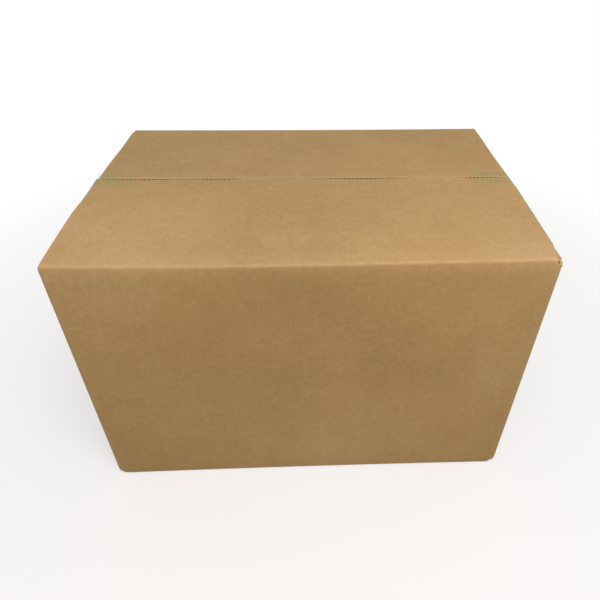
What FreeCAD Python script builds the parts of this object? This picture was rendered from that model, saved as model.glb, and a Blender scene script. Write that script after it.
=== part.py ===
"""Closed corrugated cardboard box: one folded, slotted and glued blank, taped shut above and below.

Frame, in millimetres: X runs along the length, the front faces -Y and +Z is up. The origin is the
middle of the face that the box stands on.

The carton is a regular slotted one. Four panels fold up from one sheet, and a glued lap joins the
sheet's two ends inside the back left corner. The end flaps fold in first. The long flaps fold over
them and meet at a seam along the length, where the open ends of the flutes show.
"""
import FreeCAD, Part
import math
import os
import Sketcher

SIZES = [
    ("inside_length", "600"),
    ("inside_width", "400"),
    ("inside_height", "400"),
    # The board: its whole thickness, its two flat faces and the wavy middle layer between them
    ("board", "3"),
    ("liner", "0.4"),
    ("medium", "0.25"),
    ("flute_pitch", "6.4"),
    ("flute_crest", "1.2"),
    ("flute_depth", "8"),
    # Folds: the inner radius, the slots between neighbouring flaps and how far they pass the fold
    ("fold_radius", "0.6"),
    ("slot_width", "5"),
    ("slot_overrun", "1"),
    # The closed flaps: the space between the end flaps and the long ones, and the seam
    ("leaf_gap", "0.3"),
    ("seam_gap", "2"),
    ("seam_rise", "5"),
    # The glued lap, the slanting trim of its ends, the raw edge's step beside it and the glue in the corner
    ("lap_width", "35"),
    ("lap_trim", "9"),
    ("lap_setback", "0.8"),
    ("glue_line", "0.15"),
    ("tape_width", "48"),
    ("tape_thickness", "0.08"),
    ("tape_tail", "55"),
]

doc = FreeCAD.newDocument("carton")
sheet = doc.addObject("Spreadsheet::Sheet", "sizes")
for row, (alias, number) in enumerate(SIZES, start=1):
    sheet.set(f"A{row}", alias)
    sheet.set(f"B{row}", number)
    sheet.setAlias(f"B{row}", alias)
gauge = doc.addObject("App::FeaturePython", "gauge")
gauge.addProperty("App::PropertyFloat", "reading")
doc.recompute()

# Rules that more than one feature uses, in terms of the sizes above. A core is the centre line of a fold.
HALF_LENGTH = "sizes.inside_length / 2"
HALF_WIDTH = "sizes.inside_width / 2"
END_FACE = "(sizes.inside_length / 2 + sizes.board)"
LONG_FACE = "(sizes.inside_width / 2 + sizes.board)"
OUTER_RADIUS = "(sizes.fold_radius + sizes.board)"
FLOOR = "(sizes.tape_thickness + 2 * sizes.board + sizes.leaf_gap)"
CEILING = f"({FLOOR} + sizes.inside_height)"
SLOT_LOW = f"({FLOOR} + sizes.fold_radius + sizes.slot_overrun)"
SLOT_HIGH = f"({CEILING} - sizes.fold_radius - sizes.slot_overrun)"
SLOT_HALF = "(sizes.slot_width / 2 - sizes.board / 2)"
LONG_FLAP_END = f"({HALF_LENGTH} - {SLOT_HALF})"
END_FLAP_END = f"({HALF_WIDTH} - {SLOT_HALF})"
SLOPE = f"atan(sizes.seam_rise / ({HALF_WIDTH}))"
LEVEL = "0 deg"
LEAF_STEP = "(sizes.board + sizes.leaf_gap)"
LONG_CORE = f"({HALF_WIDTH} - sizes.fold_radius)"
LEAF_CORE_LEVEL = f"({CEILING} + {LEAF_STEP} - sizes.fold_radius)"


def worth(rule):
    """The plain number that a rule comes to with the sheet's present sizes."""
    gauge.setExpression("reading", rule)
    gauge.recompute()
    return gauge.reading


def own_plane(body, role):
    """One of the body's own origin planes, found by its role."""
    return next(feature for feature in body.Origin.OriginFeatures if feature.Role == role)


def leaf_level(distance):
    """The height of a long top flap's upper face at a distance from the middle."""
    rise = f"({LONG_CORE} - {distance}) * tan({SLOPE})"
    return f"({LEAF_CORE_LEVEL} + {OUTER_RADIUS} / cos({SLOPE}) + {rise})"


def sketch_on(body, name, role, offset=None):
    """A sketch on one of the body's own planes, moved along the plane's normal by the offset rule."""
    sketch = body.newObject("Sketcher::SketchObject", name)
    sketch.AttachmentSupport = [(own_plane(body, role), "")]
    sketch.MapMode = "FlatFace"
    if offset:
        sketch.setExpression("AttachmentOffset.Base.z", offset)
    return sketch


def edge_between(start, end, radius, turn):
    """A straight edge, or the arc of that radius that turns left (1) or right (-1)."""
    if radius is None:
        return Part.LineSegment(start, end)
    chord = end - start
    left = FreeCAD.Vector(-chord.y, chord.x, 0).normalize()
    rise = math.sqrt(max(radius ** 2 - (chord.Length / 2) ** 2, 0))
    centre = start + chord * 0.5 + left * (turn * rise)
    first, last = (start, end) if turn > 0 else (end, start)
    angles = [math.atan2(p.y - centre.y, p.x - centre.x) for p in (first, last)]
    circle = Part.Circle(centre, FreeCAD.Vector(0, 0, 1), radius)
    return Part.ArcOfCircle(circle, angles[0], angles[1])


def pin_corner(sketch, edge, end, axis, rule):
    """Ties one coordinate of an edge's end to its rule, measured from the sketch's origin."""
    if rule == "0":
        sketch.addConstraint(Sketcher.Constraint("PointOnObject", edge, end, -2 if axis == "X" else -1))
        return
    index = sketch.addConstraint(Sketcher.Constraint("Distance" + axis, -1, 1, edge, end, worth(rule)))
    sketch.setExpression(f"Constraints[{index}]", rule)


def draw(sketch, corners):
    """Draws one closed outline whose corners follow their rules.

    Each corner is (x rule, y rule), or (x rule, y rule, radius rule, turn) where an arc leads from
    it to the next corner.
    """
    points = [FreeCAD.Vector(worth(corner[0]), worth(corner[1]), 0) for corner in corners]
    first = sketch.GeometryCount
    tails = []
    for index, corner in enumerate(corners):
        radius, turn = (worth(corner[2]), corner[3]) if len(corner) > 2 else (None, 1)
        following = points[(index + 1) % len(points)]
        edge = sketch.addGeometry(edge_between(points[index], following, radius, turn), False)
        tails.append((1, 2) if turn > 0 else (2, 1))
        if radius is not None:
            number = sketch.addConstraint(Sketcher.Constraint("Radius", edge, radius))
            sketch.setExpression(f"Constraints[{number}]", corner[2])
    for index, corner in enumerate(corners):
        before = (index - 1) % len(corners)
        joint = (first + before, tails[before][1], first + index, tails[index][0])
        sketch.addConstraint(Sketcher.Constraint("Coincident", *joint))
        pin_corner(sketch, first + index, tails[index][0], "X", corner[0])
        pin_corner(sketch, first + index, tails[index][0], "Y", corner[1])


def pad(body, name, sketch, length, other_length=None):
    """Raises a sketch along its normal, and by the other length against it."""
    feature = body.newObject("PartDesign::Pad", name)
    feature.Profile = sketch
    feature.setExpression("Length", length)
    if other_length:
        feature.SideType = "Two sides"
        feature.setExpression("Length2", other_length)
    body.Tip = feature
    doc.recompute()
    return feature


def make_panels(body):
    """The four upright panels and the glued lap, as one folded strip seen from above."""
    sketch = sketch_on(body, "panel_section", "XY_Plane", SLOT_LOW)
    left, right, front, back = f"-{END_FACE}", END_FACE, f"-{LONG_FACE}", LONG_FACE
    turn_in = f"({HALF_LENGTH} - sizes.fold_radius)"
    lap_core = f"(-{HALF_LENGTH} + {OUTER_RADIUS})"
    glue_angle = f"acos(1 - sizes.glue_line / {OUTER_RADIUS})"
    glue_level = f"({LONG_CORE} + {OUTER_RADIUS} * sin({glue_angle}))"
    raw_edge = f"({LONG_FACE} - sizes.lap_setback)"
    draw(sketch, [
        (left, f"-{LONG_CORE}", OUTER_RADIUS, 1),
        (f"-{turn_in}", front),
        (turn_in, front, OUTER_RADIUS, 1),
        (right, f"-{LONG_CORE}"),
        (right, LONG_CORE, OUTER_RADIUS, 1),
        (turn_in, back),
        (lap_core, back, OUTER_RADIUS, 1),
        (f"(-{HALF_LENGTH} + sizes.glue_line)", glue_level),
        (f"-{HALF_LENGTH}", glue_level),
        (f"-{HALF_LENGTH}", raw_edge),
        (left, raw_edge),
    ])
    lap_end = f"({HALF_WIDTH} - sizes.lap_width)"
    lap_face = f"(-{HALF_LENGTH} + sizes.board)"
    draw(sketch, [
        (f"-{HALF_LENGTH}", f"-{LONG_CORE}", "sizes.fold_radius", 1),
        (f"-{turn_in}", f"-{HALF_WIDTH}"),
        (turn_in, f"-{HALF_WIDTH}", "sizes.fold_radius", 1),
        (HALF_LENGTH, f"-{LONG_CORE}"),
        (HALF_LENGTH, LONG_CORE, "sizes.fold_radius", 1),
        (turn_in, HALF_WIDTH),
        (lap_core, HALF_WIDTH, "sizes.fold_radius", 1),
        (lap_face, LONG_CORE),
        (lap_face, lap_end),
        (f"-{HALF_LENGTH}", lap_end),
    ])
    pad(body, "panels", sketch, f"{SLOT_HIGH} - {SLOT_LOW}")
    trim_lap(body, lap_face, lap_end)


def trim_lap(body, lap_face, lap_end):
    """Cuts both ends of the lap at a slant from its fold to its free edge, through the lap alone."""
    untrimmed_volume = body.Shape.Volume
    sketch = sketch_on(body, "lap_trim_section", "YZ_Plane", lap_face)
    for level, way in ((SLOT_LOW, 1), (SLOT_HIGH, -1)):
        draw(sketch, [(lap_end, level), (LONG_CORE, level), (lap_end, f"({level} + ({way}) * sizes.lap_trim)")])
    trim = body.newObject("PartDesign::Pocket", "lap_ends")
    trim.Profile = sketch
    trim.setExpression("Length", "sizes.board")
    body.Tip = trim
    doc.recompute()
    if body.Shape.Volume >= untrimmed_volume:
        raise RuntimeError("the lap's ends were not trimmed")


def flap_outline(side, up, inner, core_level, slot_level, reach, slope):
    """The hooked section of a panel and its flap, from the slot's end to the flap's free edge.

    side is -1 or 1 for where the panel stands, and up is 1 for a top flap. inner is the distance of
    the panel's inner face from the middle, reach that of the free edge, and core_level the height
    of the fold's centre. The flap rises towards its free edge at the slope.
    """
    core = f"({inner} - sizes.fold_radius)"
    run = f"({core} + sizes.fold_radius * sin({slope}) - {reach})"
    tip = f"({core_level} + ({up}) * (sizes.fold_radius * cos({slope}) + {run} * tan({slope})))"
    face = f"({inner} + sizes.board)"
    turn = -side * up

    def place(distance, level):
        return f"({side}) * {distance}", level

    def fold_end(radius):
        level = f"{core_level} + ({up}) * {radius} * cos({slope})"
        return place(f"({core} + {radius} * sin({slope}))", level)

    outer_tip = f"{tip} + ({up}) * sizes.board * cos({slope})"
    return [
        place(inner, slot_level),
        place(inner, core_level) + ("sizes.fold_radius", -turn),
        fold_end("sizes.fold_radius"),
        place(reach, tip),
        place(f"({reach} + sizes.board * sin({slope}))", outer_tip),
        fold_end(OUTER_RADIUS) + (OUTER_RADIUS, turn),
        place(face, core_level),
        place(face, slot_level),
    ]


def make_flaps(body):
    """The eight flaps: the end ones reach in below the long ones, which meet at the seam."""
    end_reach = f"({HALF_LENGTH} - {HALF_WIDTH})"
    seam_edge = "(sizes.seam_gap / 2)"
    lap_side = f"({LONG_FLAP_END} - sizes.board)"
    for up, place, slot in ((1, "top", SLOT_HIGH), (-1, "bottom", SLOT_LOW)):
        end_core = f"({CEILING} - sizes.fold_radius)" if up > 0 else f"({FLOOR} + sizes.fold_radius)"
        long_core = f"({end_core} + ({up}) * {LEAF_STEP})"
        slope = SLOPE if up > 0 else LEVEL
        for side, name in ((-1, "left"), (1, "right")):
            sketch = sketch_on(body, f"{place}_{name}_flap_section", "XZ_Plane")
            draw(sketch, flap_outline(side, up, HALF_LENGTH, end_core, slot, end_reach, LEVEL))
            pad(body, f"{place}_{name}_flap", sketch, END_FLAP_END, END_FLAP_END)
        for side, name in ((-1, "front"), (1, "back")):
            sketch = sketch_on(body, f"{place}_{name}_flap_section", "YZ_Plane")
            draw(sketch, flap_outline(side, up, HALF_WIDTH, long_core, slot, seam_edge, slope))
            left_end = lap_side if side > 0 else LONG_FLAP_END
            pad(body, f"{place}_{name}_flap", sketch, LONG_FLAP_END, left_end)


def open_flutes(body):
    """The open flute ends along both cut edges of the top seam, above and below the wavy middle layer.

    One pair of cells is cut into the front edge, square to the flap, and then repeated along the
    edge and mirrored to the back one.
    """
    uncut_volume = body.Shape.Volume
    room = f"(2 * ({LONG_FLAP_END} - sizes.board) + sizes.flute_crest / 2)"
    count = f"floor({room} / sizes.flute_pitch - 0.5)"
    first = f"(-({count} - 0.5) * sizes.flute_pitch / 2)"
    wide = "((sizes.flute_pitch - sizes.flute_crest) / 2)"
    narrow = "(sizes.flute_crest / 2)"
    low, high = "sizes.liner", "(sizes.board - sizes.liner)"
    under_face = f"{leaf_level('sizes.seam_gap / 2')} - sizes.board / cos({SLOPE})"
    sketch = sketch_on(body, "flute_section", "XZ_Plane", "sizes.seam_gap / 2")
    sketch.setExpression("AttachmentOffset.Base.y", under_face)
    sketch.AttachmentOffset.Rotation.Axis = FreeCAD.Vector(1, 0, 0)
    sketch.setExpression("AttachmentOffset.Rotation.Angle", SLOPE)
    for middle, base, tip in ((first, low, f"({high} - sizes.medium)"),
                              (f"({first} + sizes.flute_pitch / 2)", high, f"({low} + sizes.medium)")):
        draw(sketch, [
            (f"({middle} - {wide})", base),
            (f"({middle} + {wide})", base),
            (f"({middle} + {narrow})", tip),
            (f"({middle} - {narrow})", tip),
        ])
    cell = body.newObject("PartDesign::Pocket", "flute")
    cell.Profile = sketch
    cell.Reversed = True
    cell.setExpression("Length", "sizes.flute_depth")
    along = doc.addObject("PartDesign::LinearPattern", "along_the_seam")
    along.Direction = (sketch, ["H_Axis"])
    along.Mode = "Spacing"
    along.setExpression("Offset", "sizes.flute_pitch")
    along.setExpression("Occurrences", count)
    across = doc.addObject("PartDesign::Mirrored", "across_the_seam")
    across.MirrorPlane = (own_plane(body, "XZ_Plane"), [""])
    flutes = body.newObject("PartDesign::MultiTransform", "flutes")
    flutes.Originals = [cell]
    flutes.Transformations = [along, across]
    body.Tip = flutes
    doc.recompute()
    if body.Shape.Volume >= uncut_volume:
        raise RuntimeError("the flutes cut nothing out of the seam's edges")


def make_carton():
    """The folded blank: panels, glued lap, flaps and open flute ends, all of one sheet."""
    body = doc.addObject("PartDesign::Body", "carton")
    make_panels(body)
    make_flaps(body)
    open_flutes(body)
    return body


def mirrored(corners):
    """The same stretch of an outline on the other side of the middle, drawn on in the same turn."""
    reverse = range(len(corners) - 1, -1, -1)
    return [(f"-{corners[i][0]}", corners[i][1]) + (corners[i - 1][2:] if i else ()) for i in reverse]


def tape_end(level, fold, up):
    """How a tape leaves a long flap's end and lies on the end panel: its steepness and its corners.

    It runs straight from the flap's end until it touches the round of the end flap's fold, follows
    the round and goes on along the panel as a tail. up is 1 for the top tape.
    """
    core = f"({HALF_LENGTH} - sizes.fold_radius)"
    run = f"({core} - {LONG_FLAP_END})"
    height = f"abs({level} - {fold})"
    steep = f"(atan2({height}; {run}) - asin({OUTER_RADIUS} / hypot({height}; {run})))"
    tail = f"({fold} - ({up}) * sizes.tape_tail)"

    def side(radius, turn):
        face = f"({core} + {radius})"
        touch = f"({core} + {radius} * sin({steep}))", f"({fold} + ({up}) * {radius} * cos({steep}))"
        return touch, (face, fold), (face, tail), (radius, turn)

    touch, fold_end, tail_end, arc = side(OUTER_RADIUS, -up)
    inner = [touch + arc, fold_end, tail_end]
    touch, fold_end, tail_end, arc = side(f"({OUTER_RADIUS} + sizes.tape_thickness)", up)
    outer = [tail_end, fold_end + arc, touch]
    return steep, inner + outer


def make_bottom_tape():
    """The strip under the bottom seam, turned up over both ends."""
    body = doc.addObject("PartDesign::Body", "bottom_tape")
    skin = "sizes.tape_thickness"
    steep, end = tape_end(skin, f"({FLOOR} + sizes.fold_radius)", -1)
    right = [(LONG_FLAP_END, skin)] + end + [(f"({LONG_FLAP_END} + {skin} * tan({steep} / 2))", "0")]
    sketch = sketch_on(body, "bottom_tape_section", "XZ_Plane")
    draw(sketch, right + mirrored(right))
    pad(body, "bottom_tape_strip", sketch, "sizes.tape_width / 2", "sizes.tape_width / 2")
    return body


def make_top_tape():
    """The strip over the top seam: it lies on both slopes, bridges the gap and turns down over both ends."""
    body = doc.addObject("PartDesign::Body", "top_tape")
    edge = "sizes.tape_width / 2"
    seam = f"(sizes.seam_gap / 2 + sizes.board * sin({SLOPE}))"
    skin = "sizes.tape_thickness"
    roof = [(f"-{edge}", leaf_level(edge)), (f"-{seam}", leaf_level(seam)),
            (seam, leaf_level(seam)), (edge, leaf_level(edge))]
    sketch = sketch_on(body, "roof_section", "YZ_Plane")
    draw(sketch, roof + [(y, f"({level} + {skin})") for y, level in reversed(roof)])
    strip_end = f"({LONG_FLAP_END} + {skin})"
    pad(body, "roof_strip", sketch, strip_end, strip_end)

    drop = leaf_level(edge)
    ridge = f"({leaf_level(seam)} + {skin})"
    steep, end = tape_end(drop, f"({CEILING} - sizes.fold_radius)", 1)
    right = [(LONG_FLAP_END, ridge), (LONG_FLAP_END, drop)] + end + [
        (strip_end, f"({drop} + {skin} * tan(45 deg - {steep} / 2))"), (strip_end, ridge)]
    sketch = sketch_on(body, "end_section", "XZ_Plane")
    draw(sketch, right)
    draw(sketch, mirrored(right))
    pad(body, "ends", sketch, edge, edge)

    sketch = sketch_on(body, "above_the_roof", "YZ_Plane")
    clear = "sizes.tape_width"
    draw(sketch, [(y, f"({level} + {skin})") for y, level in roof]
         + [(edge, f"({ridge} + {clear})"), (f"-{edge}", f"({ridge} + {clear})")])
    trim = body.newObject("PartDesign::Pocket", "roof_trim")
    trim.Profile = sketch
    trim.SideType = "Two sides"
    trim.Type = "ThroughAll"
    trim.Type2 = "ThroughAll"
    body.Tip = trim
    doc.recompute()
    return body


def check(pieces):
    """Stops unless every object is computed and every piece is one valid solid."""
    for item in doc.Objects:
        if "Invalid" in item.State or "Error" in item.State:
            raise RuntimeError(f"{item.Name} failed: {item.State}")
    for piece in pieces:
        if piece.Shape.isNull() or not piece.Shape.isValid() or len(piece.Shape.Solids) != 1:
            raise RuntimeError(f"{piece.Label} is not one valid solid")


pieces = [make_carton(), make_top_tape(), make_bottom_tape()]
doc.recompute()
check(pieces)
os.makedirs("parts", exist_ok=True)
for piece in pieces:
    piece.Placement = FreeCAD.Placement()
    piece.Shape.exportStep(f"parts/{piece.Label}.step")
    print(piece.Label, round(piece.Shape.Volume), "mm3", piece.Shape.BoundBox)
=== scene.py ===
# %% [markdown]
# # A closed cardboard box
# The box is one sheet of corrugated board, cut, slotted, folded and glued, and held shut by two strips
# of clear tape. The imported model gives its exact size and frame. This script keeps the frame and builds
# the looks: the sheet with its soft folds and open flute ends, the two tapes, the board's own paper
# surface, and plain studio light. Lengths are worked out in millimetres and stored in metres.

# %% Load the frame
import math

import bpy
import numpy as np
from mathutils import Matrix, Vector


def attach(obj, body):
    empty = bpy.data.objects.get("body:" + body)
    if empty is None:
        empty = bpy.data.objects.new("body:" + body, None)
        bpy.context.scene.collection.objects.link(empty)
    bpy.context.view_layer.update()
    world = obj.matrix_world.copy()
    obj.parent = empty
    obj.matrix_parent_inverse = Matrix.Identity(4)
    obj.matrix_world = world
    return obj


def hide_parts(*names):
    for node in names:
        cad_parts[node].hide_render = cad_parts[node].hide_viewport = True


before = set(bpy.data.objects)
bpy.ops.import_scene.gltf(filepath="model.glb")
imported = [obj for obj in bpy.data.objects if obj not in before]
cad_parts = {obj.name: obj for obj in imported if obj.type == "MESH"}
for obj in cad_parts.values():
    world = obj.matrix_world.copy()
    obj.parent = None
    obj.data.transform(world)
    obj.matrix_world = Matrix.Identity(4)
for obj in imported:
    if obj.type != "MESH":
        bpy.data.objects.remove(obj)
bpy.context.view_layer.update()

# %% [markdown]
# ## The sizes that the sheet is folded from
# These repeat the sizes of the solids, so that the new surfaces lie where the solids are. A core is the
# line round which a fold turns: the inner liner turns round it at 0.6 mm and the outer one at 3.6 mm.
# Every flat face of the board is then a line of cores plus the same radius, which makes the whole sheet
# one simple rule.

# %% Sizes in millimetres
BOARD = 3.0
LINER = 0.4
MEDIUM = 0.25
FLUTE_PITCH = 6.4
FLUTE_DEPTH = 8.0
OUTER_RADIUS = 3.6
CORE_X = 299.4
CORE_Y = 199.4
FLAP_INSET = 0.4
LAP_CORE_X = 296.4
LAP_END_Y = 165.0
RAW_EDGE_Y = 202.2
SLOT_LOW, SLOT_HIGH = 7.98, 404.78
LONG_CORES_Z = (3.68, 409.08)
END_CORES_Z = (6.98, 405.78)
END_FLAP_REACH = 100.0
SEAM_EDGE = 1.0
SLOPE = math.atan(5.0 / 200.0)
TAPE_HALF = 24.0
TAPE_SKIN = 0.08
TAPE_TAIL = 55.0
LAYERS = np.array([0.0, LINER, BOARD - LINER, BOARD])
HALF_LENGTH = CORE_X + OUTER_RADIUS
HALF_WIDTH = CORE_Y + OUTER_RADIUS
PANEL_TOP = 409.0
FLAP_RUN = 199.0
# The knife's marks at a cut edge: how deep it presses the liner, and how far from the edge that reaches
CRUSH = 0.15
CRUSH_REACH = 3.2
DIP_REACH = 6.0


def spread(stops, step):
    """Samples through all the stops in turn, evenly between each two and no further apart than step."""
    parts = [np.array([stops[0]], float)]
    for a, b in zip(stops[:-1], stops[1:]):
        count = max(1, int(math.ceil(abs(b - a) / step)))
        parts.append(np.linspace(a, b, count + 1)[1:])
    return np.concatenate(parts)


print("flap slope in degrees:", round(math.degrees(SLOPE), 2))

# %% [markdown]
# ## Across the sheet: once round the box
# Seen from above, the sheet starts at the raw edge in the back left corner, runs along the left end, the
# front, the right end and the back, and ends in the glued lap inside the left end. It could be four
# plates, but then the folds would be seams. As one line of samples, each with a core point and an
# outward direction, the folds are only samples whose direction turns while the core stands still.

# %% Samples round the box
FOLD_STEPS = 6
GROOVE = 0.9


def wall_stops(start, end, flap_start, flap_end):
    """The places on a wall where something begins: its ends, its flaps and the grooves beside them."""
    way = 1.0 if end > start else -1.0
    return [start, flap_start, flap_start + way * GROOVE, flap_end - way * GROOVE, flap_end, end]


def girth_samples():
    """Arrays for every sample round the box.

    core holds the core point, out the outward direction, wall the wall number (-1 in a fold),
    place the coordinate along the wall, and girth the length of sheet from the raw edge.
    """
    walls = [
        (1, -CORE_X, (-1, 0), [RAW_EDGE_Y, RAW_EDGE_Y - GROOVE] + wall_stops(
            RAW_EDGE_Y, -CORE_Y, CORE_Y - FLAP_INSET, FLAP_INSET - CORE_Y)[1:]),
        (0, -CORE_Y, (0, -1), wall_stops(-CORE_X, CORE_X, FLAP_INSET - CORE_X, CORE_X - FLAP_INSET)),
        (1, CORE_X, (1, 0), wall_stops(-CORE_Y, CORE_Y, FLAP_INSET - CORE_Y, CORE_Y - FLAP_INSET)),
        (0, CORE_Y, (0, 1), wall_stops(CORE_X, -LAP_CORE_X, CORE_X - FLAP_INSET, FLAP_INSET - LAP_CORE_X)),
        (1, -LAP_CORE_X, (-1, 0), [CORE_Y, LAP_END_Y + GROOVE, LAP_END_Y]),
    ]
    core, out, wall, place, girth = [], [], [], [], []
    length = 0.0
    for number, (axis, level, normal, stops) in enumerate(walls):
        along = spread(stops, FLUTE_PITCH / 2 if axis == 0 else 2 * FLUTE_PITCH)
        points = np.full((len(along), 2), float(level))
        points[:, axis] = along
        core.append(points)
        out.append(np.tile(np.array(normal, float), (len(along), 1)))
        wall.append(np.full(len(along), number))
        place.append(along)
        girth.append(length + np.abs(along - along[0]))
        length = girth[-1][-1]
        if number == len(walls) - 1:
            break
        turn = np.linspace(0, math.pi / 2, FOLD_STEPS + 1)[1:-1]
        start = math.atan2(normal[1], normal[0])
        core.append(np.tile(points[-1], (len(turn), 1)))
        out.append(np.column_stack([np.cos(start + turn), np.sin(start + turn)]))
        wall.append(np.full(len(turn), -1))
        place.append(np.full(len(turn), along[-1]))
        girth.append(length + OUTER_RADIUS * turn)
        length += OUTER_RADIUS * math.pi / 2
    return [np.concatenate(part) for part in (core, out, wall, place, girth)]


g_core, g_out, g_wall, g_place, g_girth = girth_samples()
on_long_wall = (g_wall == 1) | (g_wall == 3)
print("samples round the box:", len(g_wall), "girth in mm:", round(g_girth[-1], 1))

# %% [markdown]
# ## Up the sheet: bottom flap, panel, top flap
# Every wall has the same run of samples from the free edge of its bottom flap to the free edge of its
# top flap. Only the levels differ: the end flaps fold first, so their folds lie inside those of the long
# flaps, and the long top flaps climb a little towards the seam. Both runs meet at the slots' ends, so
# the panels join up round the corners.

# %% Samples up the box
ARC_STEPS = 8
FLAP_STEP = 28.0
FLAP_STOPS = [0.0, 0.7, 1.6, CRUSH_REACH, FLUTE_DEPTH]
PANEL_STEP = 30.0
PANEL_STOPS = [SLOT_LOW, 12, 18, 28, 378, 386, 391, 395, 399, 402, SLOT_HIGH]


def rise_samples(core_distance, reach, core_levels, slope):
    """Arrays for every sample up one kind of wall.

    shift is how far the core lies inside the panel's own core, lean the outward share and lift the
    upward share of the direction, level the core's height and rise the length of sheet.
    """
    run = core_distance - reach
    flap = spread(FLAP_STOPS + [run], FLAP_STEP)
    mirror = run - flap[::-1]
    turn = np.linspace(0, 1, ARC_STEPS + 1)[1:-1]
    panel = spread(PANEL_STOPS, PANEL_STEP)
    upright = np.zeros(len(panel) + 2)
    low, high = core_levels
    full = math.pi / 2 - slope
    shift = np.concatenate([flap - run, 0 * turn, upright, 0 * turn, -mirror])
    angle = np.concatenate([
        np.full(len(flap), -math.pi / 2), (turn - 1) * math.pi / 2, upright,
        turn * full, np.full(len(flap), full)])
    level = np.concatenate([
        np.full(len(flap) + len(turn) + 1, low), panel, np.full(1 + len(turn), high),
        high + mirror * math.tan(slope)])
    arc = OUTER_RADIUS * math.pi / 2
    over_panel = run + arc + high - low
    rise = np.concatenate([
        flap, run + turn * arc, [run + arc], run + arc + panel - low, [over_panel],
        over_panel + turn * arc, over_panel + arc + mirror])
    return shift, np.cos(angle), np.sin(angle), level, rise


long_rise = rise_samples(CORE_Y, SEAM_EDGE, LONG_CORES_Z, SLOPE)
end_rise = rise_samples(CORE_X, END_FLAP_REACH, END_CORES_Z, 0.0)
HOLLOW = len(FLAP_STOPS) - 1
N_FLAP = len(spread(FLAP_STOPS + [CORE_Y - SEAM_EDGE], FLAP_STEP))
N_RISE = len(long_rise[0])
PANEL_FIRST = N_FLAP + ARC_STEPS - 1 + 1
PANEL_LAST = N_RISE - PANEL_FIRST - 1
print("samples up the box:", N_RISE, len(end_rise[0]),
      "slots between levels", long_rise[3][PANEL_FIRST], long_rise[3][PANEL_LAST])

# %% [markdown]
# ## How the seam lies
# The seam's two cut edges touch in some places and gape a little in others. Where the seam shows, the
# front flap lies lower than the back one, so the back edge's open flutes come into view as dark beads.
# An even step would show them all along. A few soft humps of different length give the seam its rhythm.

# %% The seam's shape
# The middle, the half width and the share of each stretch where the seam shows
SEAM_STRETCHES = ((-249, 34, 1.0), (-126, 26, 0.8), (-28, 18, 0.35), (78, 38, 1.0), (256, 18, 1.0))


def smooth(a, b, x):
    """0 before a, 1 after b, and an S curve between."""
    t = np.clip((x - a) / (b - a), 0, 1)
    return t * t * (3 - 2 * t)


def bump(x, middle, half):
    """A soft hump, 1 at the middle and 0.6 of that at the half width."""
    return np.exp(-0.5 * ((x - middle) / half) ** 2)


def seam_show(x):
    """How much the seam lies open, from 0 to about 1: the sum of a hump for each stretch, 0 at the ends."""
    ends = smooth(294, 286, np.abs(x))
    return ends * sum(share * bump(x, middle, half) for middle, half, share in SEAM_STRETCHES)


def seam_opening(x):
    """How far each cut edge stands back from the seam's drawn edge: -1 where the two edges touch."""
    return -0.96 + 0.14 * seam_show(x) + 0.03 * np.sin(x / 7.3)


def front_drop(x):
    """How far the front flap's cut edge lies below the back one, which bares the back one's flutes."""
    return 0.2 + 0.95 * seam_show(x)


print("the front flap's edge lies lower by, in mm:",
      [round(float(front_drop(v)), 2) for v in (-250.0, -130.0, -25.0, 80.0, 170.0, 250.0)])

# %% [markdown]
# ## How the panels have settled
# A used box is never quite true. Its panels stand a little inside their creases and bow inwards, and the
# end panels lean in where the tape holds them. It could be sculpted by hand, but a smooth push of the
# ideal points, worked out from where each one lies, can be given to the tapes as well, so that they stay
# stuck to the board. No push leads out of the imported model's box.

# %% Pushes of the panels
def panel_pushes(x, y, z):
    """Pushes of the four panels along x and y: rolled in at the creases, bowed in and leaning in."""
    height = np.clip(z / PANEL_TOP, 0, 1)
    belly = np.sin(math.pi * height)
    middle_x = 1 - np.clip(x / HALF_LENGTH, -1, 1) ** 2
    middle_y = 1 - np.clip(y / HALF_WIDTH, -1, 1) ** 2
    roll_in = np.clip((z - 388) / 23, 0, 1) ** 2 + 0.5 * np.clip((16 - z) / 15, 0, 1) ** 2
    front = np.clip(-y / 190.0, 0, 1) ** 6
    back = np.clip(y / 190.0, 0, 1) ** 6
    dy = front * (1.5 * roll_in + middle_x * (0.4 + 1.2 * (1 - height) ** 1.5 + 0.4 * belly))
    dy -= back * (0.9 * roll_in + middle_x * (0.4 + 2.0 * height + 0.8 * belly))
    # The end panels stand inside their top creases, and lean in where the seam and the tape meet them
    side = np.clip(np.abs(x) / 290.0, 0, 1) ** 6
    right_lean = 2.0 * smooth(-40, 10, y) * smooth(170, 60, y) * smooth(60, 400, z)
    left_lean = 2.2 * smooth(-92, -50, y) * (1 - 0.6 * smooth(5, 50, y)) * smooth(200, 405, z)
    below = 1.5 * smooth(410, 398, z)
    dx = -np.sign(x) * side * (below + np.where(x > 0, right_lean, left_lean) + middle_y * 0.4 * belly)
    # The left end's top edge bows out again between the front corner and the seam
    dx -= 1.0 * smooth(-285, -298, x) * smooth(-197, -165, y) * smooth(-52, -82, y) * smooth(360, 405, z)
    return dx, dy


print("middle of the front moves in by, in mm:",
      round(float(panel_pushes(*np.array([[0.0], [-HALF_WIDTH], [200.0]]))[1][0]), 2))

# %% [markdown]
# ## How the corners lie
# Six corners are a millimetre or two out of place. A corner takes its panels with it, and the push fades
# along the edges, so each one is a share of the box that is 1 at the corner and 0 at the far side.

# %% Pushes of the corners
# For each corner that is out of true: right, rear, high, and how far it lies inwards along x and y
CORNER_PUSHES = [
    (0, 0, 1, (1.2, 1.6)),
    (1, 0, 1, (0.0, 1.6)),
    (0, 1, 1, (0.4, 2.6)),
    (1, 1, 1, (0.0, 2.6)),
    (0, 0, 0, (0.0, 1.6)),
    (1, 0, 0, (0.7, 2.6)),
]
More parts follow.
